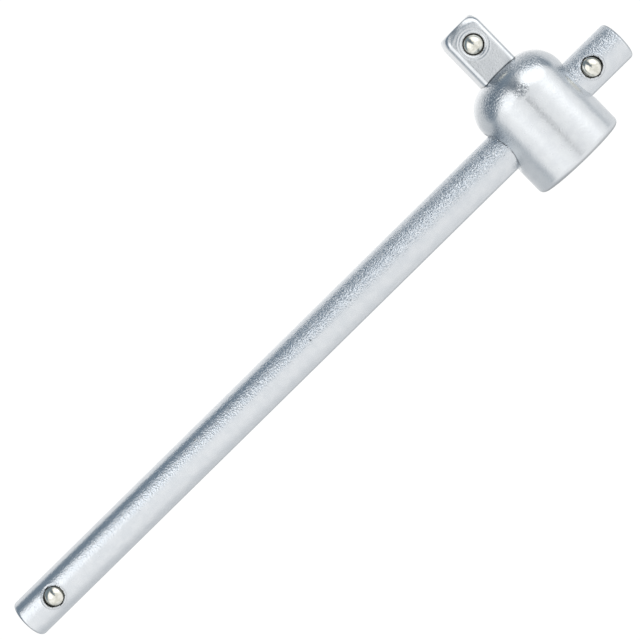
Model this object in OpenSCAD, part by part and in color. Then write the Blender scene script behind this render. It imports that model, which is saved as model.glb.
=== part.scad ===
// Sliding T-handle for half-inch square-drive sockets.
// The origin is the middle of the bar's axis. +X runs along the bar to the end where the head is
// parked, +Y points the way the drive square does, and +Z comes up out of the detent balls.

/* [Bar] */
// Length of the bar, end to end
bar_length = 250; // [220:1:300]
// Diameter of the bar
bar_d = 13.1; // [12.8:0.1:14]
// Radius that rounds the rim of each bar end
bar_end_r = 1.1; // [0.4:0.1:2]
// Distance from each end of the bar to its detent ball
ball_inset = 12.2; // [10:0.1:16]

/* [Head] */
// Distance from the middle of the bar to the head's axis
head_x = 92.5; // [0:0.5:93]
// Diameter of the head
head_d = 31; // [29:0.5:34]
// Distance from the bar's axis back to the head's flat end
head_back = 17.5; // [14:0.1:20]
// Distance from the bar's axis out to the crown of the dome
head_crown = 18.3; // [16:0.1:22]
// Radius of the dome's shoulder
shoulder_r = 10; // [7:0.5:12]
// Radius that rounds the rim of the flat end
back_r = 1.8; // [0.5:0.1:3]
// Width of the chamfer at the mouths of the cross bore
bore_lip = 1.2; // [0.5:0.1:1.5]

/* [Drive square] */
// Width across the flats of the drive square
square_w = 12.7; // [12.5:0.05:12.9]
// Length of the drive square, out from the crown
square_length = 18.3; // [15:0.1:20]
// Chamfer along the square's long edges
square_chamfer = 1; // [0.5:0.1:1.4]
// Distance from the square's end to its detent ball
square_ball_inset = 7.3; // [6:0.1:9]
// Length over which the square's corners are turned down towards its end
nose_length = 2; // [1:0.1:5]

/* [Detents] */
// Diameter of each detent ball
ball_d = 7; // [6.8:0.1:7.2]
// Diameter of the staked mouth that keeps a ball in
mouth_d = 6.2; // [6:0.05:6.4]
// How far the edge of the mouth that holds the ball lies under the bar's top
bar_mouth_depth = 1.05; // [0.9:0.05:1.3]
// How far that edge lies under the face of the square
square_mouth_depth = 0.5; // [0.3:0.05:0.7]
// Wire diameter of the detent springs
spring_wire = 0.6; // [0.4:0.05:0.7]
// Working turns in each detent spring
spring_turns = 5; // [4:1:6]

/* [Friction ring] */
// Width of the ring along the bar
ring_w = 1.4; // [1:0.1:2]
// Thickness of the ring, outwards
ring_t = 1.0; // [0.8:0.1:1.4]
// Opening angle of the ring's split
ring_gap_angle = 24; // [10:1:40]

/* [Hidden] */
$fn = 96;
eps = 0.01;
bar_r = bar_d / 2;
head_r = head_d / 2;
ball_r = ball_d / 2;
mouth_r = mouth_d / 2;
square_half = square_w / 2;
square_tip_y = head_crown + square_length;
square_ball_y = square_tip_y - square_ball_inset;
bar_ball_x = bar_length / 2 - ball_inset;
// running clearances, all on the radius
bore_play = 0.06;
ring_play = 0.03;
groove_play = 0.05;
pocket_play = 0.08;
seat_play = 0.03;
bore_r = bar_r + bore_play;
pocket_r = ball_r + pocket_play;
// a ball rests just under the edge of its mouth
ball_drop = sqrt(pow(ball_r, 2) - pow(mouth_r, 2)) + seat_play;
bar_ball_z = bar_r - bar_mouth_depth - ball_drop;
square_ball_z = square_half - square_mouth_depth - ball_drop;
// the mouth's cone lets the pocket's wall close in over the ball
mouth_cone = 0.6;
pocket_floor_z = -4.6;
// the bore's chamfer is a cone that starts this far inside the head's side
bore_lip_depth = 2.2;
// springs: mean coil radius, and the height at which the last coil meets the ball
spring_r = 2.3;
spring_touch = sqrt(pow(ball_r + spring_wire / 2 + seat_play, 2) - pow(spring_r, 2));
spring_sides = 8;
spring_steps = 14;
dead_turns = 0.75;
// nose: the square's corners are turned to a cone that starts at this radius on the end face
nose_start_r = square_half + 0.05;
nose_end_r = 9.1;
// the square is rooted this deep inside the dome
square_root = 4;

// A closed tube that follows a list of points; every ring stands upright around the Z axis.
module swept_wire(path, wire_r, sides)
{
    rings = len(path);
    points = [for (p = path) for (k = [0:sides - 1])
        let (a = 360 * k / sides, r = p[0] + wire_r * cos(a))
        [r * cos(p[1]), r * sin(p[1]), p[2] + wire_r * sin(a)]];
    walls = [for (i = [0:rings - 2]) for (k = [0:sides - 1])
        let (n = (k + 1) % sides)
        [i * sides + k, i * sides + n, (i + 1) * sides + n, (i + 1) * sides + k]];
    first_cap = [for (k = [sides - 1:-1:0]) k];
    last_cap = [for (k = [0:sides - 1]) (rings - 1) * sides + k];
    polyhedron(points = points, faces = concat([first_cap], walls, [last_cap]), convexity = 10);
}

// Height of a compression spring's wire after t turns, with closed turns at both ends.
function coil_height(t, low, high, turns) =
    let (closed = dead_turns * spring_wire, span = high - low - 2 * closed)
    t < dead_turns ? low + t * spring_wire
    : t > dead_turns + turns ? high - (turns + 2 * dead_turns - t) * spring_wire
    : low + closed + span * (t - dead_turns) / turns;

// A detent spring that stands on the pocket's floor and carries a ball whose centre is at ball_z.
module detent_spring(ball_z)
{
    low = pocket_floor_z + spring_wire / 2;
    high = ball_z - spring_touch;
    total = spring_turns + 2 * dead_turns;
    steps = ceil(total * spring_steps);
    path = [for (i = [0:steps]) let (t = total * i / steps)
        [spring_r, 360 * t, coil_height(t, low, high, spring_turns)]];
    swept_wire(path, spring_wire / 2, spring_sides);
}

// The space that a ball and its spring need: a drilled pocket whose mouth closes in at edge_z.
module ball_pocket(edge_z, top_z)
{
    cone_z = edge_z - mouth_cone;
    translate([0, 0, pocket_floor_z]) cylinder(h = cone_z - pocket_floor_z, r = pocket_r);
    translate([0, 0, cone_z - eps]) cylinder(h = mouth_cone + eps, r1 = pocket_r, r2 = mouth_r);
    translate([0, 0, edge_z - eps]) cylinder(h = top_z - edge_z + eps, r = mouth_r);
}

// Places its children at a detent of the bar: side is -1 for the near end and 1 for the far end.
module at_bar_detent(side)
{
    translate([side * bar_ball_x, 0, 0]) children();
}

module at_square_detent()
{
    translate([head_x, square_ball_y, 0]) children();
}

// A solid of revolution about X with rounded rims, from x = 0 to x = length.
module rounded_rod(length, r, rim)
{
    rotate([90, 0, 90]) rotate_extrude() {
        square([r - rim, length]);
        translate([0, rim]) square([r, length - 2 * rim]);
        for (y = [rim, length - rim])
            intersection() {
                translate([r - rim, y]) circle(r = rim);
                square([r, length]);
            }
    }
}

module bar()
{
    color("silver") difference() {
        translate([-bar_length / 2, 0, 0]) rounded_rod(bar_length, bar_r, bar_end_r);
        for (side = [-1, 1])
            at_bar_detent(side) ball_pocket(bar_r - bar_mouth_depth, bar_r + 1);
    }
}

// Half profile of the head: a flat end with a rounded rim, a straight skirt and a domed shoulder.
module head_profile()
{
    length = head_back + head_crown;
    intersection() {
        union() {
            square([head_r - back_r, length - shoulder_r]);
            square([head_r - shoulder_r, length]);
            translate([0, back_r]) square([head_r, length - shoulder_r - back_r]);
            translate([head_r - back_r, back_r]) circle(r = back_r);
            translate([head_r - shoulder_r, length - shoulder_r]) circle(r = shoulder_r);
        }
        square([head_r, length]);
    }
}

module chamfered_square(w, c)
{
    h = w / 2;
    polygon([[h, h - c], [h - c, h], [c - h, h], [-h, h - c],
             [-h, c - h], [c - h, -h], [h - c, -h], [h, c - h]]);
}

// The drive square, with its corners turned down to a cone near the end.
module drive_square()
{
    length = square_length + square_root;
    rotate([-90, 0, 0]) intersection() {
        translate([0, 0, head_crown - square_root])
            linear_extrude(height = length) chamfered_square(square_w, square_chamfer);
        union() {
            translate([0, 0, head_crown - square_root])
                cylinder(h = length - nose_length, r = nose_end_r + eps);
            translate([0, 0, square_tip_y - nose_length])
                cylinder(h = nose_length, r1 = nose_end_r, r2 = nose_start_r);
        }
    }
}

// The cross bore with its chamfered mouths and the groove for the friction ring.
module cross_bore()
{
    groove_r = bar_r + ring_play + ring_t + groove_play;
    rotate([0, 90, 0]) {
        translate([0, 0, -head_r - 1]) cylinder(h = head_d + 2, r = bore_r);
        translate([0, 0, -ring_w / 2 - groove_play])
            cylinder(h = ring_w + 2 * groove_play, r = groove_r);
        for (turn = [0, 180])
            rotate([turn, 0, 0]) translate([0, 0, head_r - bore_lip_depth])
                cylinder(h = bore_lip_depth + eps, r1 = bore_r, r2 = bore_r + bore_lip);
    }
}

module head()
{
    color("silver") difference() {
        translate([head_x, 0, 0]) {
            translate([0, -head_back, 0]) rotate([-90, 0, 0]) rotate_extrude() head_profile();
            drive_square();
        }
        translate([head_x, 0, 0]) cross_bore();
        at_square_detent() ball_pocket(square_half - square_mouth_depth, square_half + 1);
    }
}

module friction_ring()
{
    inner = bar_r + ring_play;
    color("dimgray") translate([head_x - ring_w / 2, 0, 0]) rotate([90, 0, 90])
        rotate([0, 0, ring_gap_angle / 2]) rotate_extrude(angle = 360 - ring_gap_angle)
            translate([inner, 0]) square([ring_t, ring_w]);
}

module near_ball()
{
    color("gainsboro") at_bar_detent(-1) translate([0, 0, bar_ball_z]) sphere(r = ball_r);
}

module near_spring()
{
    color("gray") at_bar_detent(-1) detent_spring(bar_ball_z);
}

module far_ball()
{
    color("gainsboro") at_bar_detent(1) translate([0, 0, bar_ball_z]) sphere(r = ball_r);
}

module far_spring()
{
    color("gray") at_bar_detent(1) detent_spring(bar_ball_z);
}

module drive_ball()
{
    color("gainsboro") at_square_detent() translate([0, 0, square_ball_z]) sphere(r = ball_r);
}

module drive_spring()
{
    color("gray") at_square_detent() detent_spring(square_ball_z);
}

bar();
head();
friction_ring();
near_ball();
near_spring();
far_ball();
far_spring();
drive_ball();
drive_spring();
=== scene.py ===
"""Looks of the sliding T-handle: skins with rounded edges, wound springs, plated steel and a pale studio.

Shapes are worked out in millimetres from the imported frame, and turned into metres when a mesh is made.
"""
import math

import bpy
import numpy as np
from mathutils import Matrix, Vector


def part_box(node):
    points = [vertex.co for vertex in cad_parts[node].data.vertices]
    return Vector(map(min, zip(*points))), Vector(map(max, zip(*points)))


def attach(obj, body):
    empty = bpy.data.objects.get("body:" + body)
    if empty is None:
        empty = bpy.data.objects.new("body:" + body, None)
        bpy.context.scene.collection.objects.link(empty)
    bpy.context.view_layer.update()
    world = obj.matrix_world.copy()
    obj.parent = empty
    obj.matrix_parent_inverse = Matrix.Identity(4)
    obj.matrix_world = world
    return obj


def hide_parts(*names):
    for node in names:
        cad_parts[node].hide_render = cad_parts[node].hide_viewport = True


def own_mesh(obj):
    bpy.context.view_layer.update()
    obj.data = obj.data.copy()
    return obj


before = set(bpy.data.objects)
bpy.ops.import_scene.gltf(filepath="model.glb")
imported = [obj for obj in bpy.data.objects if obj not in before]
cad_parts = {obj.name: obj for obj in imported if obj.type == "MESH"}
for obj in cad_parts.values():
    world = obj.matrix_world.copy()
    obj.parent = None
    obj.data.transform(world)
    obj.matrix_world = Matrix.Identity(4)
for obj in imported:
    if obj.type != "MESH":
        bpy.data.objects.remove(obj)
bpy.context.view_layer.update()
MM = 0.001


# ---------------------------------------------------------------- sizes in millimetres, read from the frame

def box_mm(node_name):
    """A node's lowest and highest corner."""
    low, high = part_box(node_name)
    return np.array(low) / MM, np.array(high) / MM


def ball_mm(node_name):
    """Centre and radius of a ball."""
    low, high = box_mm(node_name)
    return (low + high) / 2, (high[0] - low[0]) / 2


BAR_LOW, BAR_HIGH = box_mm("bar")
HEAD_LOW, HEAD_HIGH = box_mm("head")
RING_LOW, RING_HIGH = box_mm("friction_ring")
BAR_HALF = (BAR_HIGH[0] - BAR_LOW[0]) / 2
BAR_R = (BAR_HIGH[1] - BAR_LOW[1]) / 2
HEAD_X = (HEAD_LOW[0] + HEAD_HIGH[0]) / 2
HEAD_R = (HEAD_HIGH[0] - HEAD_LOW[0]) / 2
HEAD_BACK = HEAD_LOW[1]
SQUARE_TIP = HEAD_HIGH[1]
RING_HALF = (RING_HIGH[0] - RING_LOW[0]) / 2
BALLS = {side: ball_mm(side + "_ball") for side in ("near", "far", "drive")}
SPRINGS = {side: box_mm(side + "_spring") for side in BALLS}

# ---------------------------------------------------------------- sizes in millimetres that no box tells

# the bar's rolled ends, and the head's crown, shoulder and back rim
BAR_END_R = 1.1
CROWN = 18.3
SHOULDER_R = 10.0
BACK_R = 1.8

# the drive square: half its width, its rolled long edges, and the cone that its corners are turned down to
SQUARE_HALF = 6.35
SQUARE_EDGE_R = 1.7
NOSE_LENGTH = 2.4
NOSE_START_R = 9.1
NOSE_END_R = 6.35
NOSE_EDGE_R = 1.3
TIP_EDGE_R = 0.5

# the head's cross bore: its play on the bar, the chamfer at its mouths, and its groove's play round the ring
BORE_PLAY = 0.06
BORE_LIP = 1.2
BORE_LIP_DEPTH = 2.2
GROOVE_PLAY = 0.05

# the friction ring: its play on the bar, and half the angle of its split in degrees
RING_PLAY = 0.03
RING_HALF_SPLIT = 12

# the balls' pockets: the mouth is the narrow part, with a cone below it and a flare above
MOUTH_R = 3.1
MOUTH_CONE = 0.6
MOUTH_FLARE = 0.16
MOUTH_FLARE_DEPTH = 0.4
MOUTH_DEPTH = {"near": 1.05, "far": 1.05, "drive": 0.5}
POCKET_PLAY = 0.08
POCKET_FLOOR = -4.6

# marks of the ring punches that closed the mouths: radius and depth, each with a low bead outside it
BAR_PUNCHES = ((3.55, 0.15),)
SQUARE_PUNCHES = ((3.55, 0.10), (4.4, 0.03))
PUNCH_WIDTH = 0.22
BEAD_HEIGHT = 0.03
BEAD_OFFSET = 0.5
BEAD_WIDTH = 0.25

# the springs
WIRE_D = 0.6
SPRING_TURNS = 5
DEAD_TURNS = 0.75

# the small radii that tumbling and plating leave on machined edges
EDGE_R = 0.22
FINE_EDGE_R = 0.12
ROOT_FILLET_R = 0.22

# ---------------------------------------------------------------- the view and the stage

# place and aim in metres, the heading in degrees that the picture's right side points to, and the lens
CAMERA_PLACE = (0.0291, 0.0283, 0.521)
CAMERA_TARGET = (0.0028, 0.0028, 0.0)
CAMERA_HEADING = -44.63
CAMERA_LENS = 97.4
CAMERA_SENSOR = 36

# the floor's gap in millimetres below what the turning square reaches, and half its width in metres
FLOOR_GAP = 2.0
FLOOR_HALF = 2.5

# the light dome: its radius in metres, how many cells it has round and up, and its last elevation in degrees
DOME_R = 1.2
DOME_ROUND = 240
DOME_UP = 120
DOME_END = 89.5

# lights and flags, painted over each other on the dome in this order: name, azimuth (0 is +Y, 90 is +X) and
# elevation of the middle, half width and half height, all in degrees, then softness, brightness and blue tint
STUDIO = [
    ("under", 180, -90, 400, 70, 0.5, 0.98, 0.00),
    ("under_left", -112, -26, 58, 42, 0.6, 0.70, 0.02),
    ("under_right", 100, -30, 60, 40, 0.6, 0.88, 0.01),
    ("under_edge", 180, -66, 60, 20, 0.5, 0.58, 0.02),
    ("under_front", 0, -78, 70, 24, 0.5, 1.15, 0.00),
    ("left_glow", -100, 44, 60, 42, 0.5, 1.10, 0.00),
    ("right_glow", 98, 36, 52, 34, 0.7, 1.12, 0.00),
    ("left_softbox", -58, 48, 36, 20, 0.3, 1.48, 0.00),
    ("right_softbox", 58, 34, 36, 25, 0.25, 1.68, 0.00),
    ("upper_gap", 10, 74, 42, 13, 0.3, 0.42, 0.08),
    ("gap", 0, 44, 17, 38, 0.3, 0.24, 0.11),
    ("horizon_flag", -36, 0, 58, 23, 0.25, 0.28, 0.14),
    ("side_flag", 54, -10, 40, 13, 0.3, 0.28, 0.14),
    ("camera", 0, 90, 400, 4.5, 0.3, 0.1, 0.02),
]

# ---------------------------------------------------------------- wear, and painted shade

# rubbed spots, where the grain is coarser and darker: centre in millimetres, inner and outer reach, the share
# by which each axis counts towards that reach, the grain's depth, and the shade of the plating's dark colour
CROWN_RUBS = [
    ((92.0, 10.0, 15.3), 0.5, 3.3, (0.9, 1.2, 1), 0.3, 0.42),
    ((85.5, 13.5, 9.0), 3.0, 8.5, (1, 1.4, 1), 0.2, 0.72),
    ((99.0, 14.8, 9.5), 3.0, 8.0, (1, 1.4, 1), 0.2, 0.76),
]
# the bar is more worn along one side, from its middle to the head's end
BAR_RUBS = [
    ((90.0, 3.0, 0.0), 1.5, 6.0, (0.04, 1, 0), 0.3, 0.88),
    ((-30.0, 3.0, 0.0), 1.0, 4.0, (0.03, 1, 0), 0.15, 0.97),
]
# small nicks along the bar: centre and reach in millimetres
NICKS = [
    ((-3.2, 0.8, 6.5), 0.8),
    ((14.0, 0.9, 6.5), 0.5),
    ((20.0, 3.0, 5.8), 0.7),
    ((-49.0, 3.7, 5.4), 0.7),
]
BAR_RUBS += [(centre, 0.1 * reach, reach, (1, 2, 1), 0.4, 0.3) for centre, reach in NICKS]

# painted shade: darkening in corners, bore mouths, ball seats and punch marks, and dark lines along rims
# its colour, and its strength and reach in millimetres at each place
PAINTED_SHADE_COLOUR = (0.04, 0.043, 0.047)
PAINTED_SHADE_BY_PLACE = {
    "seat": (0.9, 0.35),
    "root": (1.0, 0.35),
    "mouth": (0.85, 0.9),
    "back_rim": (0.4, 0.7),
    "bar_rim": (0.35, 0.3),
    "punch": (0.4, 0.22),
}
# where the shade is strongest: above the head's back, inwards from the bar's ends, and from a ball's axis
BACK_RIM_SHADE_AT = 0.3
BAR_RIM_SHADE_AT = 0.35
PUNCH_SHADE_AT = 3.9


# ---------------------------------------------------------------- solids as distances, in millimetres

def meet(a, b, r):
    """Where two solids overlap, with the edge between them rounded to r."""
    return np.minimum(np.maximum(a, b), -r) + np.hypot(np.maximum(a + r, 0), np.maximum(b + r, 0))


def join(a, b, r):
    """Two solids together, with a fillet of radius r between them."""
    return -meet(-a, -b, r)


def cut(a, b, r):
    """Solid a without solid b, with the rim of the cut rounded to r."""
    return meet(a, -b, r)


def from_ball(x, y, side):
    """Distance from the upright line through a ball's centre."""
    centre = BALLS[side][0]
    return np.hypot(x - centre[0], y - centre[1])


def punched(away, punches):
    """How high a face stands at a distance from a ball's axis, after punches have closed its mouth.

    Each leaves a shallow ring-shaped mark, with a bead outside it that still clears the bore.
    """
    height = 0
    for reach, depth in punches:
        bead = BEAD_HEIGHT * np.exp(-((away - reach - BEAD_OFFSET) / BEAD_WIDTH) ** 2)
        mark = depth * np.exp(-((away - reach) / PUNCH_WIDTH) ** 2)
        height = height + (bead - mark)
    return height


def pocket(x, y, z, side):
    """The drilled pocket of a detent ball, which closes in at its mouth and flares again above it."""
    wide = BALLS[side][1] + POCKET_PLAY
    face = SQUARE_HALF if side == "drive" else BAR_R
    edge = face - MOUTH_DEPTH[side]
    closing = np.clip((z - edge + MOUTH_CONE) / MOUTH_CONE, 0, 1)
    flare = MOUTH_FLARE * np.clip((z - edge) / MOUTH_FLARE_DEPTH, 0, 1)
    wall = from_ball(x, y, side) - wide + (wide - MOUTH_R) * closing - flare
    return np.maximum(wall, POCKET_FLOOR - z)


def bar_solid(x, y, z):
    """The round bar, with rolled ends and a pocket near each."""
    face = BAR_R
    holes = np.full(np.shape(x), 1e3)
    for side in ("near", "far"):
        holes = np.minimum(holes, pocket(x, y, z, side))
        face = face + np.where(z > 0, punched(from_ball(x, y, side), BAR_PUNCHES), 0)
    rod = meet(np.hypot(y, z) - face, np.abs(x) - BAR_HALF, BAR_END_R)
    return cut(rod, holes, FINE_EDGE_R)


def cross_bore(x, y, z):
    """The bore that slides on the bar, with its chamfered mouths and the friction ring's groove."""
    across = np.hypot(y, z)
    bore = across - BAR_R - BORE_PLAY
    slope = BORE_LIP / BORE_LIP_DEPTH
    lip = (bore - slope * (np.abs(x) - HEAD_R + BORE_LIP_DEPTH)) / math.hypot(1, slope)
    groove = np.maximum(np.abs(x) - RING_HALF - GROOVE_PLAY, across - RING_HIGH[2] - GROOVE_PLAY)
    return np.minimum(np.minimum(bore, lip), groove)


def drive_square(x, y, z):
    """The square, with rolled long edges, and its corners turned down to a cone at the nose."""
    rise = np.where(z > 0, punched(from_ball(x + HEAD_X, y, "drive"), SQUARE_PUNCHES), 0)
    flats = meet(np.abs(x) - SQUARE_HALF, np.abs(z) - SQUARE_HALF - rise, SQUARE_EDGE_R)
    slope = (NOSE_START_R - NOSE_END_R) / NOSE_LENGTH
    nose = (np.hypot(x, z) - NOSE_START_R + slope * (y - SQUARE_TIP + NOSE_LENGTH)) / math.hypot(1, slope)
    shank = meet(flats, nose, NOSE_EDGE_R)
    return np.maximum(meet(shank, y - SQUARE_TIP, TIP_EDGE_R), CROWN - SHOULDER_R - y)


def head_dome(x, y, z):
    """The head's round body, with its domed crown and the rounded rim of its flat back."""
    return meet(meet(np.hypot(x, z) - HEAD_R, y - CROWN, SHOULDER_R), HEAD_BACK - y, BACK_R)


def head_solid(x, y, z):
    """Dome and square in one, with the cross bore and the drive ball's pocket taken out."""
    local = x - HEAD_X
    body = join(head_dome(local, y, z), drive_square(local, y, z), ROOT_FILLET_R)
    body = cut(body, cross_bore(local, y, z), EDGE_R)
    return cut(body, pocket(x, y, z, "drive"), FINE_EDGE_R)


def ring_solid(x, y, z):
    """The split ring in the head's groove, sprung lightly against the bar."""
    inner, outer = BAR_R + RING_PLAY, RING_HIGH[2]
    section = meet(np.abs(x - HEAD_X) - RING_HALF,
                   np.abs(np.hypot(y, z) - (inner + outer) / 2) - (outer - inner) / 2, EDGE_R)
    half_split = math.radians(RING_HALF_SPLIT)
    split = np.abs(z) * math.cos(half_split) - y * math.sin(half_split)
    return cut(section, np.maximum(split, -y), EDGE_R)


# ---------------------------------------------------------------- where the painted shade goes

def shade_share(place, distance):
    """The painted shade's share at a distance from the place where it is strongest."""
    strength, reach = PAINTED_SHADE_BY_PLACE[place]
    share = np.clip(1 - np.abs(distance) / reach, 0, 1)
    return strength * (share * share * (3 - 2 * share))


def seat_shade(x, y, z, side):
    """Painted shade round a ball, from its mouth outwards."""
    return shade_share("seat", np.maximum(from_ball(x, y, side) - MOUTH_R, 0)) * (z > 0)


def head_painted_shade(x, y, z):
    """Painted shade on the head: at the square's root, the bore's mouths, the ball's seat and the back rim.
    """
    local = x - HEAD_X
    root = shade_share("root", drive_square(local, y, z)) * shade_share("root", head_dome(local, y, z))
    mouth = shade_share("mouth", np.maximum(np.hypot(y, z) - BAR_R - BORE_PLAY, 0)) * (y < CROWN)
    rim = shade_share("back_rim", y - HEAD_BACK - BACK_RIM_SHADE_AT)
    return np.max([root, mouth, seat_shade(x, y, z, "drive"), rim], axis=0)


def bar_painted_shade(x, y, z):
    """Painted shade on the bar: along its ends' rolled rims, in the balls' seats and outside the punch marks.
    """
    on_side = np.hypot(y, z) > BAR_R - BAR_END_R
    most = shade_share("bar_rim", BAR_HALF - BAR_RIM_SHADE_AT - np.abs(x)) * on_side
    for side in ("near", "far"):
        outside_mark = from_ball(x, y, side) - PUNCH_SHADE_AT
        most = np.maximum(most, seat_shade(x, y, z, side))
        most = np.maximum(most, shade_share("punch", outside_mark) * (z > 0))
    return most


# ---------------------------------------------------------------- meshes

def ticks(start, *spans):
    """Grid lines along one axis: each span is (end, step), and starts where the one before it ends."""
    lines = [start]
    for end, step in spans:
        count = max(1, round((end - lines[-1]) / step))
        first = lines[-1]
        lines.extend(first + (end - first) * (k + 1) / count for k in range(count))
    return np.array(lines)


def slope_of(solid, points, h=0.01):
    """How fast a solid's distance grows along each axis, measured over h on either side of the points."""
    columns = []
    for axis in range(3):
        step = np.zeros(3)
        step[axis] = h
        columns.append((solid(*(points + step).T) - solid(*(points - step).T)) / (2 * h))
    return np.stack(columns, 1)


def skin(name, solid, lines, painted_shade=None):
    """A quad mesh over a solid's surface: one vertex in each grid cell that the surface crosses.

    The share of painted shade at each vertex, if any, goes into a point attribute, which the plated steel
    reads.
    """
    field = solid(*np.meshgrid(*lines, indexing="ij"))
    cells = np.array(field.shape) - 1
    total = np.zeros((3, cells.prod()))
    count = np.zeros(cells.prod())
    quads = []
    for axis in range(3):
        u, v = (axis + 1) % 3, (axis + 2) % 3
        along = [np.moveaxis(field, axis, 0)[a:b] for a, b in ((0, -1), (1, None))]
        low, high = (np.moveaxis(part, 0, axis) for part in along)
        edge = np.argwhere((low < 0) != (high < 0))
        start, end = low[tuple(edge.T)], high[tuple(edge.T)]
        point = np.stack([lines[k][edge[:, k]] for k in range(3)])
        point[axis] += (lines[axis][edge[:, axis] + 1] - point[axis]) * start / (start - end)
        around = []
        for du, dv in ((-1, -1), (0, -1), (0, 0), (-1, 0)):
            cell = edge.copy()
            cell[:, u] += du
            cell[:, v] += dv
            around.append(np.ravel_multi_index(cell.T, cells))
            for k in range(3):
                total[k] += np.bincount(around[-1], point[k], len(count))
            count += np.bincount(around[-1], minlength=len(count))
        quad = np.stack(around, 1)
        quad[start >= 0] = quad[start >= 0][:, ::-1]
        quads.append(quad)
    used = np.flatnonzero(count)
    points = (total[:, used] / count[used]).T
    # draw the vertices onto the surface itself, in a few short steps
    for _ in range(4):
        slope = slope_of(solid, points)
        move = slope * (solid(*points.T) / np.maximum((slope ** 2).sum(1), 0.1))[:, None]
        points -= np.clip(move, -0.3, 0.3)
    number = np.zeros(len(count), int)
    number[used] = np.arange(len(used))
    normals = slope_of(solid, points, 0.03)
    normals /= np.linalg.norm(normals, axis=1, keepdims=True)
    piece = new_piece(name, points, number[np.concatenate(quads)].tolist(), normals)
    if painted_shade:
        piece.data.attributes.new("painted_shade", "FLOAT", "POINT").data.foreach_set("value", painted_shade(*points.T))
    return piece


def new_piece(name, points, faces, normals=None):
    """A smooth mesh object from points in millimetres."""
    mesh = bpy.data.meshes.new(name)
    mesh.from_pydata((points * MM).tolist(), [], faces)
    mesh.validate()
    mesh.polygons.foreach_set("use_smooth", np.ones(len(mesh.polygons), bool))
    if normals is not None:
        mesh.normals_split_custom_set_from_vertices(normals.tolist())
    piece = bpy.data.objects.new(name, mesh)
    bpy.context.scene.collection.objects.link(piece)
    return piece


def make_bar():
    """The bar, on a grid that is fine across it, at its ends and round its balls, and coarse between them."""
    margin, seat, end = 0.4, 5.5, 2
    finest, fine, middling, coarse = 0.2, 0.3, 0.6, 1.5
    near, far = BALLS["near"][0][0], BALLS["far"][0][0]
    along = ticks(-BAR_HALF - margin, (-BAR_HALF + end, finest), (near - seat, middling), (near + seat, fine),
                  (far - seat, coarse), (far + seat, fine), (BAR_HALF - end, middling),
                  (BAR_HALF + margin, finest))
    across = ticks(-BAR_R - 0.5, (BAR_R + 0.5, fine))
    return skin("bar_body", bar_solid, (along, across, across), bar_painted_shade)


def make_head():
    """The head, on a grid that is fine over the square and the crown."""
    margin, fine, coarse = 0.6, 0.26, 0.5
    square, reach = SQUARE_HALF + margin, HEAD_R + margin
    sides = ticks(-reach, (-square, coarse), (square, fine), (reach, coarse))
    along = ticks(HEAD_BACK - 0.5, (HEAD_BACK + 2, 0.4), (CROWN - 3, coarse), (SQUARE_TIP + 0.5, fine))
    return skin("head_body", head_solid, (sides + HEAD_X, along, sides), head_painted_shade)


def make_ring():
    """The friction ring, on a grid that is finer along it than across."""
    reach = RING_HIGH[2] + 0.4
    across = ticks(-reach, (reach, 0.2))
    along = ticks(RING_LOW[0] - 0.3, (RING_HIGH[0] + 0.3, 0.14))
    return skin("split_ring", ring_solid, (along, across, across))


def make_spring(side):
    """A wound compression spring with closed ends that are ground flat."""
    sides, steps = 16, 40
    low, high = SPRINGS[side]
    centre, wire_r = (low + high) / 2, WIRE_D / 2
    coil_r = (high[0] - low[0]) / 2 - wire_r
    bottom, top = low[2] + wire_r, high[2] - wire_r
    turns = SPRING_TURNS + 2 * DEAD_TURNS
    rings = math.ceil(turns * steps) + 1
    closed = DEAD_TURNS * WIRE_D
    t = np.linspace(0, turns, rings)
    height = np.interp(t, [0, DEAD_TURNS, turns - DEAD_TURNS, turns],
                       [bottom, bottom + closed, top - closed, top])
    t, turn = np.meshgrid(t, np.linspace(0, math.tau, sides, endpoint=False), indexing="ij")
    radius = coil_r + wire_r * np.cos(turn)
    x = centre[0] + radius * np.cos(math.tau * t)
    y = centre[1] + radius * np.sin(math.tau * t)
    z = np.clip(height[:, None] + wire_r * np.sin(turn), low[2], high[2])
    points = np.stack([x, y, z], 2).reshape(-1, 3)
    faces = [[(a + 1) * sides + b, (a + 1) * sides + (b + 1) % sides, a * sides + (b + 1) % sides,
              a * sides + b] for a in range(rings - 1) for b in range(sides)]
    faces += [list(range(sides)), list(range((rings - 1) * sides, rings * sides))[::-1]]
    return new_piece(side + "_coil", points, faces)


# ---------------------------------------------------------------- material nodes

def new_tree(name):
    """A new material, with its node tree."""
    material = bpy.data.materials.new(name)
    material.use_nodes = True
    return material, material.node_tree


def node(tree, kind, **settings):
    """A new shader node with these settings."""
    made = tree.nodes.new(kind)
    for key, value in settings.items():
        setattr(made, key, value)
    return made


def noise(tree, size_mm, detail):
    """Noise with features of about size_mm, fixed to the object."""
    place = node(tree, "ShaderNodeTexCoord")
    made = node(tree, "ShaderNodeTexNoise")
    made.inputs["Scale"].default_value = 1 / (size_mm * MM)
    made.inputs["Detail"].default_value = detail
    tree.links.new(place.outputs["Object"], made.inputs["Vector"])
    return made.outputs["Fac"]


def map_range(tree, source, low, high, to_low, to_high, smooth=True):
    """Maps low to high onto to_low to to_high, and holds the value beyond them."""
    made = node(tree, "ShaderNodeMapRange")
    made.interpolation_type = "SMOOTHSTEP" if smooth else "LINEAR"
    for name, value in (("From Min", low), ("From Max", high), ("To Min", to_low), ("To Max", to_high)):
        made.inputs[name].default_value = value
    tree.links.new(source, made.inputs["Value"])
    return made.outputs["Result"]


def product(tree, a, b):
    """Two values multiplied."""
    made = node(tree, "ShaderNodeMath", operation="MULTIPLY")
    tree.links.new(a, made.inputs[0])
    tree.links.new(b, made.inputs[1])
    return made.outputs[0]


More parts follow.
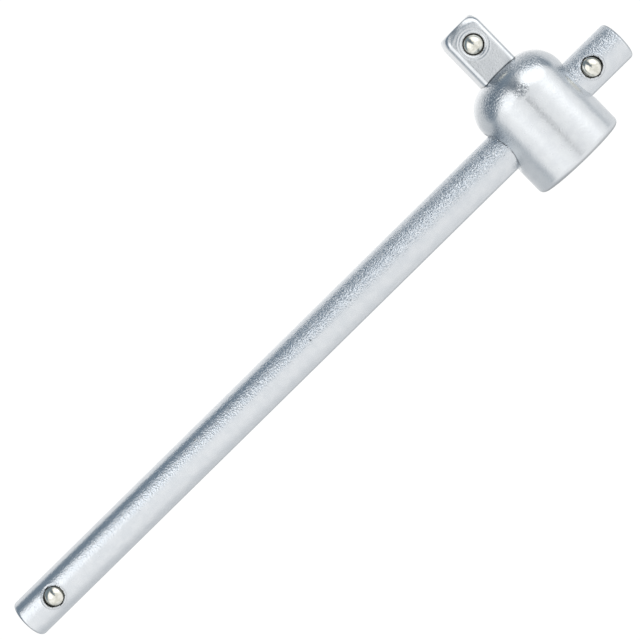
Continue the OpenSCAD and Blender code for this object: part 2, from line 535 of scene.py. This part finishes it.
def mix_colour(tree, factor, a, b):
    """Colour a where the factor is 0, and colour b where it is 1."""
    made = node(tree, "ShaderNodeMix", data_type="RGBA")
    made.inputs["A"].default_value = (*a, 1)
    made.inputs["B"].default_value = (*b, 1)
    tree.links.new(factor, made.inputs["Factor"])
    return made.outputs["Result"]


def darken(tree, colour, share, by):
    """Mixes a darker colour into another where share is 1."""
    made = node(tree, "ShaderNodeMix", data_type="RGBA")
    tree.links.new(share, made.inputs["Factor"])
    tree.links.new(colour, made.inputs["A"])
    made.inputs["B"].default_value = (*by, 1)
    return made.outputs["Result"]


def bump(tree, height, depth_mm, under=None):
    """A relief of this depth, laid over the relief under it."""
    made = node(tree, "ShaderNodeBump")
    made.inputs["Distance"].default_value = depth_mm * MM
    made.inputs["Strength"].default_value = 1.0
    tree.links.new(height, made.inputs["Height"])
    if under is not None:
        tree.links.new(under, made.inputs["Normal"])
    return made.outputs["Normal"]


def near_point(tree, point_mm, inner, outer, squeeze):
    """1 within inner millimetres of a point fixed to the object, and 0 beyond outer.

    Squeeze is the share by which each axis counts: 0.5 makes the spot twice as long along it, and 0 endless.
    """
    place = node(tree, "ShaderNodeTexCoord")
    offset = node(tree, "ShaderNodeVectorMath", operation="MULTIPLY_ADD")
    offset.inputs[1].default_value = squeeze
    offset.inputs[2].default_value = [-c * MM * s for c, s in zip(point_mm, squeeze)]
    tree.links.new(place.outputs["Object"], offset.inputs[0])
    away = node(tree, "ShaderNodeVectorMath", operation="LENGTH")
    tree.links.new(offset.outputs["Vector"], away.inputs[0])
    return map_range(tree, away.outputs["Value"], inner * MM, outer * MM, 1, 0)


# ---------------------------------------------------------------- materials

def plated_steel(name, light, dark, roughness, grain_mm, grain_depth, wave_depth, pit_depth=0.0, rubs=()):
    """Satin plated steel: a pebbled grain over slow waves, with pits and rubbed spots, and painted shade over
    its colour.
    """
    material, tree = new_tree(name)
    shader = tree.nodes["Principled BSDF"]
    shader.inputs["Metallic"].default_value = 1.0

    clouds = map_range(tree, noise(tree, size_mm=3.0, detail=3.0), 0.35, 0.65, 0, 1)
    colour = mix_colour(tree, clouds, dark, light)
    for point, inner, outer, squeeze, _, shade in rubs:
        speck = map_range(tree, noise(tree, size_mm=0.6, detail=2.0), 0.38, 0.58, 0.25, 1)
        share = product(tree, near_point(tree, point, inner, outer, squeeze), speck)
        worn = [c * shade * tint for c, tint in zip(dark, (0.96, 1, 1.04))]
        colour = darken(tree, colour, share, worn)
    # painted shade: the mesh's point attribute darkens the colour towards a near black
    painted_shade = node(tree, "ShaderNodeAttribute", attribute_name="painted_shade").outputs["Fac"]
    tree.links.new(darken(tree, colour, painted_shade, PAINTED_SHADE_COLOUR), shader.inputs["Base Color"])

    rough = noise(tree, size_mm=1.2, detail=4.0)
    tree.links.new(map_range(tree, rough, 0.3, 0.7, roughness * 0.85, roughness * 1.15, smooth=False),
                   shader.inputs["Roughness"])

    relief = bump(tree, noise(tree, size_mm=2.2, detail=1.0), wave_depth)
    relief = bump(tree, noise(tree, grain_mm, detail=2.0), grain_depth, relief)
    for point, inner, outer, squeeze, depth, _ in rubs:
        here = near_point(tree, point, inner, outer, squeeze)
        relief = bump(tree, product(tree, here, noise(tree, size_mm=0.5, detail=1.0)), depth, relief)
    if pit_depth:
        pits = map_range(tree, noise(tree, size_mm=1.1, detail=0.0), 0.12, 0.2, 0, 1)
        relief = bump(tree, pits, pit_depth, relief)
    tree.links.new(relief, shader.inputs["Normal"])
    return material


def polished_ball(side):
    """A hardened ball, bright on top, with painted shade below a ring where it meets its mouth."""
    bright, stained = (0.80, 0.79, 0.73), (0.66, 0.65, 0.58)
    centre, radius = BALLS[side]
    material, tree = new_tree(side + "_ball_steel")
    shader = tree.nodes["Principled BSDF"]
    shader.inputs["Metallic"].default_value = 1.0

    stain = map_range(tree, noise(tree, size_mm=1.0, detail=3.0), 0.4, 0.62, 0, 1)
    colour = mix_colour(tree, stain, bright, stained)
    place = node(tree, "ShaderNodeTexCoord")
    parts = node(tree, "ShaderNodeSeparateXYZ")
    tree.links.new(place.outputs["Object"], parts.inputs["Vector"])
    # painted shade: the ball is dark below a ring near its mouth, fading out across that ring
    rim = (centre[2] + 0.56 * radius) * MM
    ring = map_range(tree, parts.outputs["Z"], rim - 0.35 * MM, rim - 0.05 * MM, 1, 0)
    tree.links.new(darken(tree, colour, ring, PAINTED_SHADE_COLOUR), shader.inputs["Base Color"])

    rough = noise(tree, size_mm=0.8, detail=3.0)
    tree.links.new(map_range(tree, rough, 0.3, 0.7, 0.02, 0.05, smooth=False), shader.inputs["Roughness"])
    tree.links.new(bump(tree, noise(tree, size_mm=0.7, detail=3.0), 0.01), shader.inputs["Normal"])
    return material


def paint(piece, material):
    """Gives a piece this material and no other."""
    piece.data.materials.clear()
    piece.data.materials.append(material)


# ---------------------------------------------------------------- studio

def make_world():
    """An even white room, which the camera sees round the tool."""
    world = bpy.data.worlds.new("room")
    bpy.context.scene.world = world
    world.use_nodes = True
    background = world.node_tree.nodes["Background"]
    background.inputs["Color"].default_value = (1, 1, 1, 1)
    background.inputs["Strength"].default_value = 1.0


def studio_light(azimuth, elevation):
    """The colour of the studio's light from each direction, in degrees."""
    level = np.ones(elevation.shape + (3,))
    for _, middle, height, half_width, half_height, soft, bright, blue in STUDIO:
        aside = (azimuth - middle + 180) % 360 - 180
        away = np.hypot(aside / half_width, (elevation - height) / half_height)
        share = np.clip((1 + soft - away) / (2 * soft), 0, 1)
        share = (share * share * (3 - 2 * share))[..., None]
        colour = bright * np.array([1 - 1.5 * blue, 1.0, 1 + 1.5 * blue])
        level = level * (1 - share) + colour * share
    return level


def make_dome():
    """A dome of light round the tool, which shows only in reflections."""
    elevation, azimuth = np.meshgrid(np.linspace(-DOME_END, DOME_END, DOME_UP + 1),
                                     np.linspace(-180, 180, DOME_ROUND, endpoint=False), indexing="ij")
    level = studio_light(azimuth, elevation)
    tilt, turn = np.radians(elevation), np.radians(azimuth)
    x = HEAD_X * MM + DOME_R * np.cos(tilt) * np.sin(turn)
    y = DOME_R * np.cos(tilt) * np.cos(turn)
    z = DOME_R * np.sin(tilt)
    points = np.stack([x, y, z], 2).reshape(-1, 3)
    faces = [(r * DOME_ROUND + c, r * DOME_ROUND + (c + 1) % DOME_ROUND,
              (r + 1) * DOME_ROUND + (c + 1) % DOME_ROUND, (r + 1) * DOME_ROUND + c)
             for r in range(DOME_UP) for c in range(DOME_ROUND)]
    mesh = bpy.data.meshes.new("light_dome")
    mesh.from_pydata(points.tolist(), [], faces)
    light_layer = mesh.color_attributes.new("light", "FLOAT_COLOR", "POINT")
    rgba = np.ones((len(points), 4))
    rgba[:, :3] = level.reshape(-1, 3)
    light_layer.data.foreach_set("color", rgba.ravel())
    material, tree = new_tree("light_dome")
    tree.nodes.remove(tree.nodes["Principled BSDF"])
    light = node(tree, "ShaderNodeEmission")
    source = node(tree, "ShaderNodeAttribute", attribute_name="light")
    tree.links.new(source.outputs["Color"], light.inputs["Color"])
    tree.links.new(light.outputs[0], tree.nodes["Material Output"].inputs["Surface"])
    mesh.materials.append(material)
    dome = bpy.data.objects.new("light_dome", mesh)
    bpy.context.scene.collection.objects.link(dome)
    dome.visible_camera = False
    dome.visible_diffuse = False
    dome.visible_shadow = False


def make_floor():
    """A pale floor, just below what the drive square reaches when the head turns round the bar."""
    mesh = bpy.data.meshes.new("floor")
    corners = [(FLOOR_HALF * x, FLOOR_HALF * y, 0) for x, y in ((-1, -1), (1, -1), (1, 1), (-1, 1))]
    mesh.from_pydata(corners, [], [(0, 1, 2, 3)])
    floor = bpy.data.objects.new("floor", mesh)
    bpy.context.scene.collection.objects.link(floor)
    floor.location = (HEAD_X * MM, 0, -(SQUARE_TIP + FLOOR_GAP) * MM)
    material, tree = new_tree("pale_sheet")
    shader = tree.nodes["Principled BSDF"]
    shader.inputs["Base Color"].default_value = (0.12, 0.12, 0.12, 1)
    shader.inputs["Roughness"].default_value = 0.9
    shader.inputs["Emission Color"].default_value = (1, 1, 1, 1)
    shader.inputs["Emission Strength"].default_value = 0.9
    mesh.materials.append(material)
    floor.visible_glossy = False


def make_camera():
    """The view from above, turned so that the bar runs up to the right."""
    data = bpy.data.cameras.new("camera")
    data.sensor_width = CAMERA_SENSOR
    data.lens = CAMERA_LENS
    data.clip_start = 0.01
    data.clip_end = 10
    camera = bpy.data.objects.new("camera", data)
    bpy.context.scene.collection.objects.link(camera)
    bpy.context.scene.camera = camera
    place, target = Vector(CAMERA_PLACE), Vector(CAMERA_TARGET)
    ahead = (target - place).normalized()
    heading = math.radians(CAMERA_HEADING)
    right = Vector((math.cos(heading), math.sin(heading), 0))
    right = (right - right.dot(ahead) * ahead).normalized()
    up = right.cross(ahead)
    camera.matrix_world = Matrix.Translation(place) @ Matrix((right, up, -ahead)).transposed().to_4x4()


# ---------------------------------------------------------------- assembly

bpy.context.scene.view_settings.view_transform = "Standard"
make_camera()
make_world()
make_floor()
make_dome()

head_chrome = plated_steel("head_chrome", light=(0.71, 0.735, 0.755), dark=(0.675, 0.70, 0.725),
                           roughness=0.24, grain_mm=0.6, grain_depth=0.025, wave_depth=0.015, rubs=CROWN_RUBS)
bar_chrome = plated_steel("bar_chrome", light=(0.71, 0.735, 0.76), dark=(0.67, 0.70, 0.73),
                          roughness=0.24, grain_mm=0.7, grain_depth=0.05, wave_depth=0.015, pit_depth=0.03,
                          rubs=BAR_RUBS)
spring_steel = plated_steel("spring_steel", light=(0.45, 0.46, 0.48), dark=(0.36, 0.37, 0.39),
                            roughness=0.3, grain_mm=0.2, grain_depth=0.002, wave_depth=0.002)

for made, replaced, body, slot, finish in (
        (make_bar(), "bar", "bar", "bar_chrome", bar_chrome),
        (make_head(), "head", "head", "satin_chrome", head_chrome),
        (make_ring(), "friction_ring", "ring", "spring_steel", spring_steel)):
    paint(made, finish)
    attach(made, body)
    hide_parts(replaced)

for side, body in (("near", "bar"), ("far", "bar"), ("drive", "head")):
    coil = make_spring(side)
    paint(coil, spring_steel)
    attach(coil, body)
    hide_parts(side + "_spring")
    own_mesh(coil)
    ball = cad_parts[side + "_ball"]
    ball.data.polygons.foreach_set("use_smooth", np.ones(len(ball.data.polygons), bool))
    paint(ball, polished_ball(side))
